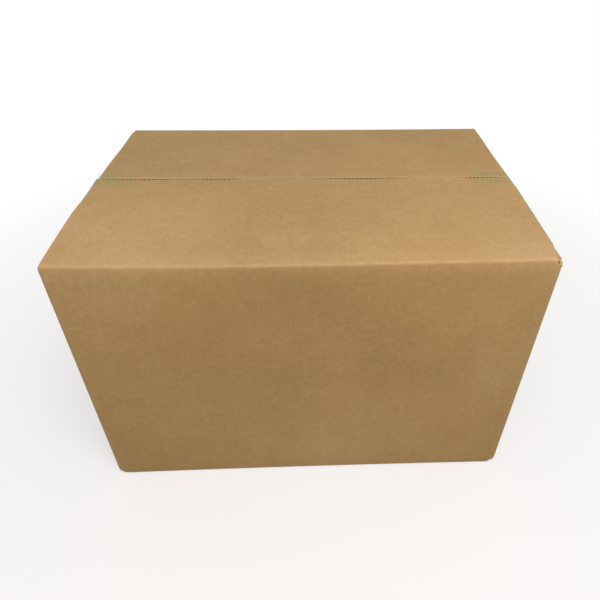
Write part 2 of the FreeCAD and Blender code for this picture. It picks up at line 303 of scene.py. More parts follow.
# The blunted corners of the bottom, with the push at each one's tip
BLUNT_REACH = 7.0
BLUNT_CORNERS = [
    ((HALF_LENGTH, -HALF_WIDTH, 0), (-4.0, 3.0, 3.4)),
    ((-HALF_LENGTH, -HALF_WIDTH, 0), (2.5, 2.0, 2.2)),
]


def corner_pushes(across, deep, height):
    """Pushes along x and y that are whole at a corner and fade evenly along the three edges from it."""
    east, north = (across + 1) / 2, (deep + 1) / 2
    dx, dy = 0 * across, 0 * deep
    for right, rear, high, push in CORNER_PUSHES:
        share = (east if right else 1 - east) * (north if rear else 1 - north)
        share = share * (height if high else 1 - height)
        dx -= push[0] * share * across
        dy -= push[1] * share * deep
    return dx, dy


print("corners out of true:", len(CORNER_PUSHES), "blunted:", len(BLUNT_CORNERS))

# %% [markdown]
# ## How the top has settled
# The top flaps sag, more on the left, the front fold hangs in its middle, and one flute of the back flap
# is crushed into a faint ridge. At the front's right end both folds are cut back, which opens the slot
# into the small dark hole that shows in the photograph.

# %% Pushes of the top
def on_top(z):
    """0 on the panels and 1 on the top, turning over the last few millimetres of the fold."""
    return smooth(405.0, PANEL_TOP, z)


def to_seam(y):
    """0 at the long folds and 1 at the seam, evenly between."""
    return np.clip(1 - np.abs(y) / FLAP_RUN, 0, 1)


def top_sag(x, y, z, seam):
    """Pushes along z: the flaps, the left corners and the front fold's middle sink, and a ridge is left."""
    height = np.clip(z / PANEL_TOP, 0, 1)
    across = np.clip(x / HALF_LENGTH, -1, 1)
    west, middle_x = (1 - across) / 2, 1 - across ** 2
    roof = on_top(z)
    wave = 0.5 + 0.5 * np.sin(x / 61.0 + 0.9 * np.sign(y) + y / 90.0)
    dz = -roof * to_seam(y) * (1 - 0.9 * across ** 8) * (0.35 * wave + 0.3 * middle_x + 0.8) * west
    dz -= west * height ** 3 * (1.2 * smooth(0, -FLAP_RUN, y) + 2.6 * smooth(0, FLAP_RUN, y))
    dz -= 3.2 * middle_x * (1 - 0.6 * across) * height ** 3 * smooth(-110, -FLAP_RUN, y)
    # At the seam the front flap steps down. The tape over it takes the step a little further forward
    step = smooth(1.2, -1.2, y) if seam else smooth(0.2, -2.2, y)
    dz -= roof * to_seam(y) ** 3 * step * front_drop(x)
    # One flute of the back flap is crushed into a faint ridge
    dz -= roof * smooth(24, 40, y) * smooth(FLAP_RUN, 185, y) * 0.4 * bump(x, -234 - 0.06 * y, 2.4)
    return dz


def slot_pushes(x, y, z):
    """Pushes that cut both folds back at the front's right end, which opens the slot into a small hole."""
    flap_end = smooth(280, 299, x) * smooth(300.2, 299.2, x)
    dx = -4.1 * flap_end * smooth(408.2, 409, z) * smooth(-184, -FLAP_RUN, y)
    fold_end = smooth(-170, -FLAP_RUN, y) * smooth(-202.5, -200.5, y)
    dy = 4.8 * smooth(288, 298, x) * smooth(404.8, 406.5, z) * fold_end
    return dx, dy


print("the front fold's middle sinks by, in mm:",
      round(-float(top_sag(*np.array([[0.0], [-HALF_WIDTH], [PANEL_TOP]]), seam=True)[0]), 2))

# %% [markdown]
# ## All the pushes together
# Every settled surface goes through one function, so the sheet, its wavy layer and the tapes move alike.
# The two bottom corners at the front are blunted last, by a push that fades like a bell over 7 mm.

# %% Settled points
def settle(points, seam=True):
    """Pushes ideal points to where the real board has settled, in millimetres: the sum of all pushes.

    The tapes leave out the pushes that close the seam's gap, because they bridge it.
    """
    x, y, z = np.moveaxis(points, -1, 0)
    across, deep = np.clip(x / HALF_LENGTH, -1, 1), np.clip(y / HALF_WIDTH, -1, 1)
    parts = [panel_pushes(x, y, z), corner_pushes(across, deep, np.clip(z / PANEL_TOP, 0, 1)),
             slot_pushes(x, y, z)]
    dx, dy = (sum(axis) for axis in zip(*parts))
    dz = top_sag(x, y, z, seam)
    if seam:
        share = on_top(z) * to_seam(y) ** 2 * smooth(170, 60, np.abs(y))
        dy += np.sign(y) * seam_opening(x) * share
    for tip, push in BLUNT_CORNERS:
        near = np.exp(-np.sum((points - tip) ** 2, axis=-1) / BLUNT_REACH ** 2)
        dx, dy, dz = dx + push[0] * near, dy + push[1] * near, dz + push[2] * near
    return np.stack([x + dx, y + dy, z + dz], axis=-1)


print("a point of the top, before and after:", [0.0, -100.0, 415.0],
      settle(np.array([[0.0, -100.0, 415.0]]))[0].round(2).tolist())

# %% [markdown]
# ## From a block of cells to a closed skin
# The board is a grid of small cells: round the box, up the box, and three layers deep (outer liner,
# fluted middle, inner liner). A cell is either board or air. Slots are air, and so is the middle layer
# near a cut edge, where the flutes are open. The skin of the sheet is every cell face between board and
# air. That gives closed walls, clean cut edges and hollow flute ends from one rule, with no special
# cases to stitch together.

# %% Skin of a block of cells
def skin(solid):
    """Every face between a solid cell and air, as four corner indices, with the face's direction.

    solid is a three-dimensional array of cells. Corners are numbered with the last axis fastest. For
    each axis the cells are compared with their neighbours on the low side, and the differences are
    the faces. The order of the corners makes each face point into the air.
    """
    corners = np.array(solid.shape) + 1
    number = np.arange(np.prod(corners)).reshape(corners)
    faces, axes = [], []
    padded = np.pad(solid, 1)
    for axis in range(3):
        b, c = (axis + 1) % 3, (axis + 2) % 3
        cells = np.moveaxis(padded, (axis, b, c), (0, 1, 2))[:, 1:-1, 1:-1]
        index = np.moveaxis(number, (axis, b, c), (0, 1, 2))
        quad = np.stack([index[:, :-1, :-1], index[:, 1:, :-1], index[:, 1:, 1:], index[:, :-1, 1:]], -1)
        low = cells[1:] & ~cells[:-1]
        high = ~cells[1:] & cells[:-1]
        for mask, order in ((low, (0, 1, 2, 3)), (high, (0, 3, 2, 1))):
            found = quad[mask][:, order]
            faces.append(found)
            axes.append(np.full(len(found), axis))
    return np.concatenate(faces), np.concatenate(axes)


def only_used(points, faces, *values):
    """Drops the corners that no face uses, and keeps the values of the others."""
    used, faces = np.unique(faces, return_inverse=True)
    return (points[used], faces.reshape(-1, 4)) + tuple(value[used] for value in values)


print("faces of two joined cells:", len(skin(np.ones((2, 1, 1), bool))[0]))

# %% [markdown]
# ## Where each cell of the sheet is board
# The eight flaps exist only beside their own walls, so the cells over the folds above the slots' ends
# are air. The side edges of the flaps and the sheet's two ends are cut along the flutes and show a
# shallow groove between the liners. The long flaps' free edges are cut across the flutes and are hollow
# there, ready for the wavy middle layer.

# %% Cells of the sheet
def sheet_cells():
    """The block of cells for the whole sheet, True where there is board."""
    walls = np.where(g_wall[:-1] == g_wall[1:], g_wall[:-1], -1)
    middle = (g_place[:-1] + g_place[1:]) / 2
    flap = np.zeros(len(walls), bool)
    for number, fold in enumerate((CORE_Y, CORE_X, CORE_Y, CORE_X)):
        reach = fold - FLAP_INSET
        low = FLAP_INSET - LAP_CORE_X if number == 3 else -reach
        flap |= (walls == number) & (middle < reach) & (middle > low)
    upright = np.zeros(N_RISE - 1, bool)
    upright[PANEL_FIRST:PANEL_LAST] = True
    solid = np.zeros((len(walls), N_RISE - 1, 3), bool)
    solid[:] = (flap[:, None] | upright[None, :])[:, :, None]
    edge = flap & ~(np.roll(flap, 1) & np.roll(flap, -1))
    solid[:, :, 1] &= ~(edge[:, None] & ~upright[None, :])
    solid[0, :, 1] = False
    solid[-1, :, 1] = False
    long_wall = flap & ((walls == 1) | (walls == 3))
    solid[long_wall, :HOLLOW, 1] = False
    solid[long_wall, -HOLLOW:, 1] = False
    return solid


cells = sheet_cells()
sheet_faces, sheet_axes = skin(cells)
print("cells:", cells.shape, "board:", int(cells.sum()), "faces:", len(sheet_faces))

# %% [markdown]
# ## What the knife leaves at a cut edge
# A slitting knife presses the outer liner in along its cut. Along the top seam the front flap's liner is
# also pushed into the flutes between the crests of the wavy layer, like a curtain between its hooks. The
# samples along the flaps step by half a flute, so that every dip has its own sample.

# %% Crushed edges
def crush(from_edge, depth=CRUSH):
    """How far the slitting knife has pressed the outer liner in, falling off square from the cut edge."""
    return depth * np.clip(1 - from_edge / CRUSH_REACH, 0, 1) ** 2


def between_crests(x):
    """1 midway between two crests of the wavy layer and 0 on a crest, in step with the samples."""
    span = 2 * (CORE_X - FLAP_INSET - GROOVE)
    step = span / math.ceil(span / (FLUTE_PITCH / 2))
    return 0.5 - 0.5 * np.cos(math.pi * (x + span / 2) / step)


def front_dips(x):
    """How far the front top flap's outer liner is pressed into the flutes where the seam shows."""
    uneven = 0.8 + 0.2 * np.sin(x / 4.7) + 0.15 * np.sin(x / 11.0 + 1)
    return 1.55 * between_crests(x) * np.clip(seam_show(x), 0, 1) * uneven


def dip_share(from_edge):
    """How much of a dip is left at a distance from the cut edge, falling off evenly."""
    return np.clip(1 - from_edge / DIP_REACH, 0, 1)


print("deepest dip in mm:", round(float(front_dips(np.linspace(-295, 295, 4000)).max()), 2))

# %% [markdown]
# ## Where the corner points lie
# Each corner point of the block is a core point plus a radius times a direction. On a flat wall the
# direction stays the same, in a fold it turns, and the four layers only differ in their radius. That is
# why the board keeps its thickness through every fold.

# %% Points of the sheet
def sheet_points():
    """Corner points of the block: core point plus radius times direction, in the wall's own plane."""
    pick = [np.where(on_long_wall[:, None], a[None, :], b[None, :]) for a, b in zip(long_rise, end_rise)]
    shift, lean, lift, level, rise = (part[:, :, None] for part in pick)
    far_edge = np.where(on_long_wall, long_rise[4][-1], end_rise[4][-1])[:, None, None]
    from_edge = np.minimum(rise, far_edge - rise)
    top_front = (g_wall == 1)[:, None, None] & (level > LONG_CORES_Z[1])
    pressed = crush(from_edge) + top_front * front_dips(g_core[:, 0, None, None]) * dip_share(from_edge)
    radius = (OUTER_RADIUS - LAYERS)[None, None, :] - pressed * (LAYERS < BOARD / 2)
    outward = shift + radius * lean
    x = g_core[:, 0, None, None] + g_out[:, 0, None, None] * outward
    y = g_core[:, 1, None, None] + g_out[:, 1, None, None] * outward
    z = level + radius * lift
    girth = np.broadcast_to(g_girth[:, None, None], x.shape)
    return np.stack([x, y, z], -1), np.stack([girth, np.broadcast_to(rise, x.shape)], -1)


ideal, developed = sheet_points()
print("corner points:", ideal.shape[:3], "highest in mm:", round(float(ideal[..., 2].max()), 2))

# %% [markdown]
# ## Wear and depth
# Numbers ride on every corner point, for the finishes to read. The first two are how worn it is and how
# deep it lies inside a hollow edge: folds and cut edges are rubbed, and hollows are dark because little
# light gets in. They could be painted by hand, but the block of cells already knows every fold and edge.

# %% Wear and depth
def nearness(values, marks, reach):
    """1 at the nearest mark, falling off evenly in ratio with the distance from it."""
    return np.exp(-np.min(np.abs(values[:, None] - np.array(marks)[None, :]), axis=1) / reach)


def fold_wear(rise_wise):
    """How close each sample is to a fold or a flap's free edge, fading over a few millimetres of sheet."""
    turning = np.where(g_wall < 0)[0]
    middles = [g_girth[turning[i:i + FOLD_STEPS - 1]].mean() for i in range(0, len(turning), FOLD_STEPS - 1)]
    upright = nearness(g_girth, middles, 4.5)
    folds = rise_wise[[N_FLAP - 1 + ARC_STEPS // 2, N_RISE - N_FLAP - ARC_STEPS // 2]]
    level = nearness(rise_wise, folds, 4.0)
    # The seam's back edge stands proud of the front one, so it is rubbed more
    edge = np.where(g_wall == 3, 1.8, 0.6)[:, None] * nearness(rise_wise, rise_wise[[0, -1]], 3.0)[None, :]
    return np.maximum(np.maximum(upright[:, None], level[None, :]), edge)


def flute_depth():
    """How deep inside the hollow edges each corner point lies: 0 at the mouth or outside, 1 at the end."""
    rise = long_rise[4]
    from_edge = np.minimum(rise, rise[-1] - rise)
    depth = np.clip(from_edge / FLUTE_DEPTH, 0, 1) * (from_edge < FLUTE_DEPTH + 0.01)
    inside = np.array([0.0, 1.0, 1.0, 0.0])
    return np.where(on_long_wall[:, None, None], depth[None, :, None] * inside, 0.0)


wear_long, wear_end = fold_wear(long_rise[4]), fold_wear(end_rise[4])
wear = np.where(on_long_wall[:, None], wear_long, wear_end)
wear = np.repeat(wear[:, :, None], len(LAYERS), axis=2)
deep = flute_depth()
print("mean wear:", round(float(wear.mean()), 3), "points inside hollows:", int((deep > 0).sum()))

# %% [markdown]
# ## Painted light and shadow in broad patches
# The third number is painted light and shadow, not the board's own tone. The front is painted darker
# above its middle, as a soft shadow, and paler below it, and the top is painted paler at its front
# corners, as light. Each patch is a soft round hump in space, so it runs over a fold without a break.

# %% Painted light and shadow
# The middle, the reach and the strength of each patch: painted light above 0 and painted shadow below
PAINTED_LIGHT_AND_SHADOW = (
    ((0, -203, 280), 110, -0.12),
    ((10, -203, 40), 95, 0.18),
    ((-200, -203, 60), 90, -0.03),
    ((-240, -180, 412), 80, 0.15),
    ((-200, -203, 300), 70, -0.06),
    ((240, -160, 409), 85, 0.09),
    ((0, -20, 412), 110, -0.09),
)


def paint_light_and_shadow(points):
    """Painted light and shadow of the broad patches: the sum of a soft hump at each place, in millimetres."""
    total = np.zeros(len(points))
    for middle, reach, strength in PAINTED_LIGHT_AND_SHADOW:
        total += strength * bump(np.linalg.norm(points - middle, axis=1), 0, reach)
    return total


print("broad patches:", len(PAINTED_LIGHT_AND_SHADOW))

# %% [markdown]
# ## The wavy middle layer
# Between the liners runs a sheet of paper in waves 6.4 mm long. It shows only where the long flaps are
# cut across the flutes, so only a strip as deep as the hollow is made: a sine wave along the edge with
# the paper's thickness, closed all round. One strip would do for a distant view, but the dark beads of
# the seam come from these openings.

# %% Waves between the liners
WAVE_STEPS = 8
WAVE_SETBACK = 0.08
core_half = (BOARD - 2 * LINER - MEDIUM) / 2 - 0.02


def wave_strip(side, top):
    """A closed wavy ribbon in a long flap's hollow edge.

    Along the edge x runs in even steps. The ribbon's middle line is at the board's middle depth plus
    a sine of x, and its two faces lie half the paper's thickness to each side.
    """
    low, high = (-(CORE_X - FLAP_INSET), CORE_X - FLAP_INSET)
    if side > 0:
        low = FLAP_INSET - LAP_CORE_X
    x = np.arange(low + GROOVE, high - GROOVE, FLUTE_PITCH / WAVE_STEPS)
    back_off = np.array([WAVE_SETBACK, 1.6, CRUSH_REACH, FLUTE_DEPTH + 0.4])
    wave = 2 * between_crests(x) - 1
    pressed = crush(back_off)[None, :] / 2
    depth = (BOARD / 2 + pressed + (core_half - pressed) * wave[:, None])[:, :, None]
    if top and side < 0:
        under_liner = LINER + MEDIUM / 2 + crush(back_off) + front_dips(x)[:, None] * dip_share(back_off)
        depth = np.maximum(depth, under_liner[:, :, None])
    depth = depth + np.array([-MEDIUM / 2, MEDIUM / 2])[None, None, :]
    # The knife has mashed the crests that touch the outer liner, some more than others
    mashed = np.clip(-1.4 * wave, 0, 1) * (1.35 + 0.3 * np.sin(x / 11.3 + 2) + 0.2 * np.sin(x / 4.1))
    depth[..., 1] += mashed[:, None] * np.clip(1 - back_off / CRUSH_REACH, 0, 1)[None, :]
    depth = np.minimum(depth, BOARD - LINER - 0.02 - np.array([MEDIUM, 0.0]))
    radius = OUTER_RADIUS - depth
    slope = SLOPE if top else 0.0
    angle = math.pi / 2 - slope if top else -math.pi / 2
    run = (CORE_Y - SEAM_EDGE) - back_off[None, :, None]
    level = LONG_CORES_Z[1] + run * math.tan(slope) if top else np.full_like(run, LONG_CORES_Z[0])
    outward = CORE_Y - run + radius * math.cos(angle)
    upward = level + radius * math.sin(angle)
    grid = np.stack(np.broadcast_arrays(x[:, None, None], side * outward, upward), -1)
    faces, _ = skin(np.ones(tuple(n - 1 for n in grid.shape[:3]), bool))
    if side * (1 if top else -1) > 0:
        faces = faces[:, ::-1]
    place = np.stack(np.broadcast_arrays(x[:, None, None], back_off[None, :, None] + 0 * depth), -1)
    return grid.reshape(-1, 3), faces, place.reshape(-1, 2)


strips = [wave_strip(side, top) for side in (-1, 1) for top in (True, False)]
print("wave strips:", len(strips), "faces:", sum(len(s[1]) for s in strips))

# %% [markdown]
# ## From arrays to a mesh
# Every piece is made by one function. Its map holds the place on the flat sheet in metres, so that paper
# grain and flutes follow the board round every fold. The values per point, such as wear, are read by the
# finishes later.

# %% Build a mesh from arrays
def make_mesh(name, points, faces, place, materials, slots, values):
    """A mesh object from arrays: points in mm, quads, a map in mm, a slot per face, values per point."""
    mesh = bpy.data.meshes.new(name)
    mesh.vertices.add(len(points))
    mesh.vertices.foreach_set("co", (points * 0.001).astype(np.float32).ravel())
    mesh.loops.add(faces.size)
    mesh.loops.foreach_set("vertex_index", faces.astype(np.int32).ravel())
    mesh.polygons.add(len(faces))
    mesh.polygons.foreach_set("loop_start", np.arange(0, faces.size, 4, dtype=np.int32))
    mesh.polygons.foreach_set("material_index", slots.astype(np.int32))
    layer = mesh.uv_layers.new(name="sheet")
    layer.data.foreach_set("uv", (place[faces.ravel()] * 0.001).astype(np.float32).ravel())
    for label, numbers in values.items():
        attribute = mesh.attributes.new(label, "FLOAT", "POINT")
        attribute.data.foreach_set("value", numbers.astype(np.float32))
    for material in materials:
        mesh.materials.append(material)
    mesh.update()
    mesh.validate()
    mesh.shade_smooth()
    mesh.set_sharp_from_angle(angle=math.radians(38))
    made = bpy.data.objects.new(name, mesh)
    bpy.context.scene.collection.objects.link(made)
    print(name, "points", len(points), "faces", len(faces))
    return made


kraft_face, kraft_edge, clear_tape = (
    bpy.data.materials.new(name) for name in ("kraft_face", "kraft_edge", "clear_tape"))
print("finishes to fill in later:", kraft_face.name, kraft_edge.name, clear_tape.name)

# %% [markdown]
# ## Putting the sheet together
# The skin and the four wavy strips go into one mesh, because they are one sheet. Each part brings its
# points, faces, places, slots, wear and depth, and the faces of each part count on from the points of
# those before it. Liner faces and cut edges get different finishes.

# %% The carton
def skin_part():
    """The sheet's own skin: settled, without unused corners, slot 0 on the liners and 1 on cut edges."""
    corners = settle(ideal).reshape(-1, 3)
    layer = np.tile(np.arange(len(LAYERS)), len(corners) // len(LAYERS))
    points, faces, place, worn, depth, layer = only_used(
        corners, sheet_faces, developed.reshape(-1, 2), wear.reshape(-1), deep.reshape(-1), layer)
    on_liner = (sheet_axes == 2) & np.isin(layer[faces[:, 0]], (0, len(LAYERS) - 1))
    return points, faces, place, np.where(on_liner, 0, 1), worn, depth


def strip_part(points, faces, place):
    """A wavy strip: settled, in the cut edge's slot, not worn, and deeper the further it lies inside."""
    depth = np.clip(place[:, 1] / FLUTE_DEPTH, 0, 1)
    return settle(points), faces, place, np.ones(len(faces), int), 0 * depth, depth


parts = [skin_part()] + [strip_part(*strip) for strip in strips]
firsts = np.cumsum([0] + [len(part[0]) for part in parts[:-1]])
parts = [(part[0], part[1] + first, *part[2:]) for part, first in zip(parts, firsts)]
points, faces, place, slots, worn, depth = (np.concatenate(column) for column in zip(*parts))
# The third value per point is painted light and shadow in broad patches
carton = make_mesh("carton_sheet", points, faces, place, [kraft_face, kraft_edge], slots,
                   {"wear": worn, "deep": depth, "painted_light_and_shadow": paint_light_and_shadow(points)})
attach(carton, "root")
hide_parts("carton")

# %% [markdown]
# ## The two tapes
# Each tape is one thin strip laid over a seam and turned over both ends of the box. The top strip
# follows both slopes of the top and bridges the gap between them, then slants over the slot, hugs the
# round of the end flap's fold and runs on as a tail. A strip of constant thickness along a path, with a
# crown across it, describes all of that.

# %% Paths of the tapes
# The height of the top flaps' upper faces at the tape's edge, and the ends of the long flaps
TOP_AT_TAPE = LONG_CORES_Z[1] + OUTER_RADIUS / math.cos(SLOPE) + (CORE_Y - TAPE_HALF) * math.tan(SLOPE)
STRIP_END = CORE_X - FLAP_INSET
# How far the film's inner face stays off the board
CLEARANCE = 0.015
flap_rows = CORE_Y + long_rise[0][-N_FLAP:] + OUTER_RADIUS * math.sin(SLOPE)


def end_path(level, fold, up, radius):
    """One end of a tape, from the flap's end outwards: x and z on a slant, round the fold and down."""
    height, run = abs(level - fold), CORE_X - STRIP_END
    steep = math.atan2(height, run) - math.asin(OUTER_RADIUS / math.hypot(height, run))
    angle = np.linspace(steep, math.pi / 2, 8)
    tail = np.linspace(0, TAPE_TAIL, 7)[1:]
    x = np.concatenate([CORE_X + radius * np.sin(angle), np.full(len(tail), CORE_X + radius)])
    z = np.concatenate([fold + up * radius * np.cos(angle), fold - up * tail])
    return x, z


def tape_grid(level, fold, up, rows, crown_of):
    """Both faces of a tape as a grid along the path, across the strip, and through its thickness."""
    along = np.unique(g_place[on_long_wall])
    along = along[np.abs(along) <= STRIP_END + 0.001]
    faces = []
    for skin_level in (CLEARANCE, TAPE_SKIN):
        end_x, end_z = end_path(level, fold, up, OUTER_RADIUS + skin_level)
        corner = STRIP_END + skin_level
        x = np.concatenate([-end_x[::-1], [-corner], along[1:-1], [corner], end_x])
        z = np.concatenate([end_z[::-1], np.full(len(along), level + up * skin_level), end_z])
        crown = np.concatenate([0 * end_z, np.ones(len(along)), 0 * end_z])
        height = z[:, None] + crown[:, None] * crown_of(rows)[None, :]
        faces.append(np.stack(np.broadcast_arrays(x[:, None], rows[None, :], height), -1))
    grid = np.stack(faces, axis=2)
    step = np.linalg.norm(np.diff(grid[:, 0, 1], axis=0), axis=1)
    travel = np.concatenate([[0.0], np.cumsum(step)])
    place = np.stack(np.broadcast_arrays(travel[:, None, None] + 0 * grid[..., 0], rows[None, :, None]), -1)
    return grid, place


print("rows of samples under a tape:", int((np.abs(flap_rows) < TAPE_HALF).sum()))

# %% [markdown]
# ## Where the tape lies loose
# Each tape is one object. It carries two values of its own: how loose the film lies, which is most near
# both ends of the seam, and how much painted highlight lies along its front edge. The bottom one is the
# same strip turned over, on a flat bottom.

# %% The tapes
def top_crown(y):
    """Height of the flaps' upper faces above their height at the tape's edge, flat across the gap."""
    seam = SEAM_EDGE + BOARD * math.sin(SLOPE)
    return (TAPE_HALF - np.maximum(np.abs(y), seam)) * math.tan(SLOPE)


def make_tape(name, node, level, fold, up, crown_of):
    """One tape object: its grid, settled with the board, closed, and standing for its CAD solid."""
    inner_rows = flap_rows[(flap_rows < TAPE_HALF - 6) & (flap_rows > 0)]
    half = np.concatenate([np.sort(inner_rows), [TAPE_HALF - 5.0, TAPE_HALF - 1.5, TAPE_HALF]])
    rows = np.concatenate([-half[::-1], [0.0], half])
    grid, place = tape_grid(level, fold, up, rows, crown_of)
    grid = settle(grid, seam=False)
    faces, _ = skin(np.ones(tuple(n - 1 for n in grid.shape[:3]), bool))
    if up > 0:
        faces = faces[:, ::-1]
    # Air is trapped near both ends of the seam, less right over it and hardly at all on the tails
    off_middle, off_seam = np.abs(grid[..., 0]), np.abs(grid[..., 1])
    below_fold = np.abs(grid[..., 2] - fold) - OUTER_RADIUS
    loose = smooth(228, 266, off_middle) * smooth(24, 13, off_seam) * (0.6 + 0.4 * smooth(1, 7, off_seam))
    loose *= 1 - 0.9 * smooth(3, 12, below_fold) * (off_middle > STRIP_END)
    # A painted highlight along the tape's front edge, strongest a little left of the middle
    painted_edge_highlight = smooth(TAPE_HALF - 9, TAPE_HALF - 2, -grid[..., 1]) * bump(grid[..., 0], -82, 48)
    tape = make_mesh(name, grid.reshape(-1, 3), faces[:, ::-1], place.reshape(-1, 2), [clear_tape],
                     np.zeros(len(faces), int), {"loose": loose.reshape(-1), "painted_edge_highlight": painted_edge_highlight.reshape(-1)})
    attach(tape, "root")
    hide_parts(node)


make_tape("top_tape_strip", "top_tape", TOP_AT_TAPE, END_CORES_Z[1], 1, top_crown)
make_tape("bottom_tape_strip", "bottom_tape", TAPE_SKIN, END_CORES_Z[0], -1, lambda y: 0 * y)

# %% [markdown]
# ## A small kit for finishes
# A finish is a handful of nodes: patterns that vary over the surface, and one shader that they feed.
# Patterns that several finishes share are kept in node groups, which work like functions: named inputs,
# named outputs, built once. They put out only tones and heights. The shaders stay in the materials.

# %% Helpers for nodes
def feed(tree, value, into):
    """Links an input to an output, or gives it a value of its own."""
    if isinstance(value, bpy.types.NodeSocket):
        tree.links.new(value, into)
    else:
        into.default_value = value


def add(tree, kind, settings=None, **inputs):
    """Adds a node, sets its properties from settings and its inputs by name or by number, as i0 or i1."""
    made = tree.nodes.new(kind)
    for name, value in (settings or {}).items():
        setattr(made, name, value)
    for name, value in inputs.items():
        numbered = name[0] == "i" and name[1:].isdigit()
        feed(tree, value, made.inputs[int(name[1:]) if numbered else name.replace("_", " ")])
    return made


def maths(tree, operation, a, b=0.0, c=0.0):
    """One Math node, and its result."""
    return add(tree, "ShaderNodeMath", {"operation": operation}, i0=a, i1=b, i2=c).outputs[0]


def point_value(tree, name):
    """The value per point that the mesh carries under a name."""
    return add(tree, "ShaderNodeAttribute", {"attribute_name": name}).outputs["Fac"]


def ramp(tree, value, low, high, to_low=0.0, to_high=1.0):
    """Maps a value from one range to another, held at both ends."""
    return add(tree, "ShaderNodeMapRange", Value=value, From_Min=low, From_Max=high,
               To_Min=to_low, To_Max=to_high).outputs[0]


def scaled(tree, vector, x, y, z=1.0):
    """A vector with each part multiplied by its own number."""
    return add(tree, "ShaderNodeMapping", {"vector_type": "POINT"}, Vector=vector, Scale=(x, y, z)).outputs[0]


def noise(tree, vector, scale, detail=2.0, roughness=0.5):
    """Soft noise, about 0.5 on average, with so many bumps to the metre."""
    return add(tree, "ShaderNodeTexNoise", Vector=vector, Scale=scale, Detail=detail,
               Roughness=roughness).outputs["Fac"]


def blend(tree, factor, a, b):
    """Two colours mixed by a factor."""
    made = add(tree, "ShaderNodeMix", {"data_type": "RGBA"}, i0=factor)
    for number, value in ((6, a), (7, b)):
        feed(tree, (*value, 1.0) if isinstance(value, tuple) else value, made.inputs[number])
    return made.outputs[2]


print("helpers for nodes are ready")

# %% [markdown]
# ## Groups as functions
# A node group is made once, with named sockets for what goes in and what comes out. Placing it in a
# material is like calling a function with that material's own values.

# %% Helpers for groups
def new_group(name, inputs, outputs):
    """An empty node group with named sockets, and its input and output nodes."""
    tree = bpy.data.node_groups.new(name, "ShaderNodeTree")
    for label, kind, value in inputs:
        socket = tree.interface.new_socket(label, in_out="INPUT", socket_type=kind)
        if value is not None:
            socket.default_value = value
    for label in outputs:
        tree.interface.new_socket(label, in_out="OUTPUT", socket_type="NodeSocketFloat")
    return tree, tree.nodes.new("NodeGroupInput"), tree.nodes.new("NodeGroupOutput")


def use(tree, group, **inputs):
    """Places a node group in a tree with its own values."""
    made = tree.nodes.new("ShaderNodeGroup")
    made.node_tree = group
    for name, value in inputs.items():
        feed(tree, value, made.inputs[name])
    return made.outputs


VECTOR, FLOAT = "NodeSocketVector", "NodeSocketFloat"
print("kinds of socket:", VECTOR, FLOAT)

# %% [markdown]
# ## Paper fibre
# Brown paper is a mat of fibres that lie mostly along the way the paper ran through its machine, which
# on a box is round the girth. Held to the light it is cloudy, and it carries sparse dark and pale specks.
# A photograph could hold all this, but noise stretched along the girth follows every fold for free and
# stays sharp at any distance. The group reads the place on the flat sheet in metres.

# %% Node group: paper fibre
def make_paper_fibre():
    """Tone from -0.5 to 0.5 and height from 0 to 1, from stretched noise, cloudy noise and specks."""
    tree, given, out = new_group("paper_fibre", [("Place", VECTOR, None), ("Specks", FLOAT, 1.0)],
                                 ["Tone", "Height"])
    place = given.outputs["Place"]
    fibre = noise(tree, scaled(tree, place, 550, 2400), 1.0, 4.0, 0.62)
    cloud = noise(tree, place, 130.0, 3.0, 0.6)
    spots = noise(tree, scaled(tree, place, 1.0, 1.25), 640.0, 0.0)
    dark = maths(tree, "MULTIPLY", ramp(tree, spots, 0.80, 0.86), given.outputs["Specks"])
    pale = maths(tree, "MULTIPLY", ramp(tree, spots, 0.19, 0.15), given.outputs["Specks"])
    tone = maths(tree, "ADD", maths(tree, "MULTIPLY", maths(tree, "SUBTRACT", fibre, 0.5), 0.55),
                 maths(tree, "MULTIPLY", maths(tree, "SUBTRACT", cloud, 0.5), 0.75))
    tone = maths(tree, "SUBTRACT", maths(tree, "ADD", tone, maths(tree, "MULTIPLY", pale, 0.35)),
                 maths(tree, "MULTIPLY", dark, 0.9))
    tree.links.new(tone, out.inputs["Tone"])
    tree.links.new(fibre, out.inputs["Height"])
    return tree


paper_fibre = make_paper_fibre()
print("group:", paper_fibre.name)

# %% [markdown]
# ## Washboard
# The liner is glued to the crests of the waves inside and sinks a few hundredths of a millimetre between
# them, so a raking light shows faint ribs along the flutes. It is far too fine for the mesh, so it is a
# sine of the girth with the flutes' own pitch, stronger in some places than in others. The board finish
# uses it as relief and also paints it into the colour as faint light and shade.

# %% Node group: washboard
def make_washboard():
    """Rib height from 0 to 1: a sine of the girth at the flute pitch, faded in and out by soft noise."""
    tree, given, out = new_group("washboard", [("Place", VECTOR, None), ("Pitch", FLOAT, FLUTE_PITCH / 1000)],
                                 ["Height"])
    girth = add(tree, "ShaderNodeSeparateXYZ", Vector=given.outputs["Place"]).outputs["X"]
    turns = maths(tree, "DIVIDE", girth, given.outputs["Pitch"])
    ribs = maths(tree, "SINE", maths(tree, "MULTIPLY", turns, 2 * math.pi))
    shown = ramp(tree, noise(tree, given.outputs["Place"], 14.0, 2.0), 0.35, 0.7, 0.25, 1.0)
    height = maths(tree, "MULTIPLY_ADD", maths(tree, "MULTIPLY", ribs, shown), 0.5, 0.5)
    tree.links.new(height, out.inputs["Height"])
    return tree


washboard = make_washboard()
print("group:", washboard.name)

# %% [markdown]
# ## Handling
# A box that has been carried about is a little darker and redder here, a little greyer there, and rubbed
# pale along its folds. The blotches are broad noise in the object's own space, so they cross folds
# without a seam. The rubbing follows the wear that was worked out with the mesh, broken up by noise.

